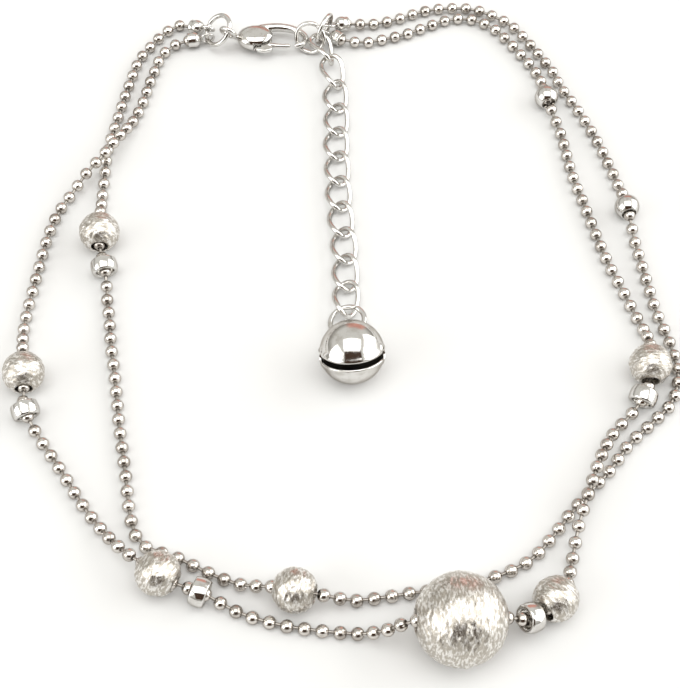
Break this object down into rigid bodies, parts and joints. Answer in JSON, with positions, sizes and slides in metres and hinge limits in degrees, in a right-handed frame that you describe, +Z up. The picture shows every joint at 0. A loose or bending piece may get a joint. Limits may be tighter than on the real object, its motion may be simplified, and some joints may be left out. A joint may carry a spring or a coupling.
{
  "type": "anklet",
  "caption": "Silver ball chain anklet with two strands, frosted beads, a lobster clasp and a curb link extender that ends in a round bell.",
  "frame": {"origin": "middle of the base of the loop's bounding box, on the surface it lies on", "axes": "+Z up out of the surface, +Y from the big bead's side to the clasp's side, +X to the right seen from above"},
  "size_m": [0.08, 0.1002, 0.01],
  "materials": {
    "silver": "polished silver",
    "frosted_silver": "frosted silver with fine flecks"
  },
  "bodies": {
    "loop": {"strand_outer": "silver", "strand_inner": "silver", "bead_h1": "silver", "bead_h2": "silver", "stopper_a": "silver", "stopper_b": "silver", "stopper_c": "silver", "stopper_f": "silver", "stopper_g": "silver", "cup_left_outer": "silver", "cup_left_inner": "silver", "cup_right_outer": "silver", "cup_right_inner": "silver", "ring_left": "silver", "ring_clasp": "silver", "ring_right": "silver", "ring_bell": "silver", "clasp_body": "silver", "link_01": "silver", "link_02": "silver", "link_03": "silver", "link_04": "silver", "link_05": "silver", "link_06": "silver", "link_07": "silver", "link_08": "silver", "link_09": "silver", "link_10": "silver", "link_11": "silver", "bell": "silver", "bead_a": "frosted_silver", "bead_b": "frosted_silver", "bead_c": "frosted_silver", "bead_d": "frosted_silver", "bead_f": "frosted_silver", "bead_g": "frosted_silver", "bead_big": "frosted_silver"},
    "lever": {"clasp_lever": "silver"}
  },
  "joints": [
    {"name": "lever_hinge", "type": "hinge", "parent": "loop", "child": "lever", "pos_m": [-0.0109, 0.0419, 0.00155], "axis": [0, 0, 1], "range_deg": [0, 25], "stiffness_Nm_per_rad": 0.0005}
  ]
}
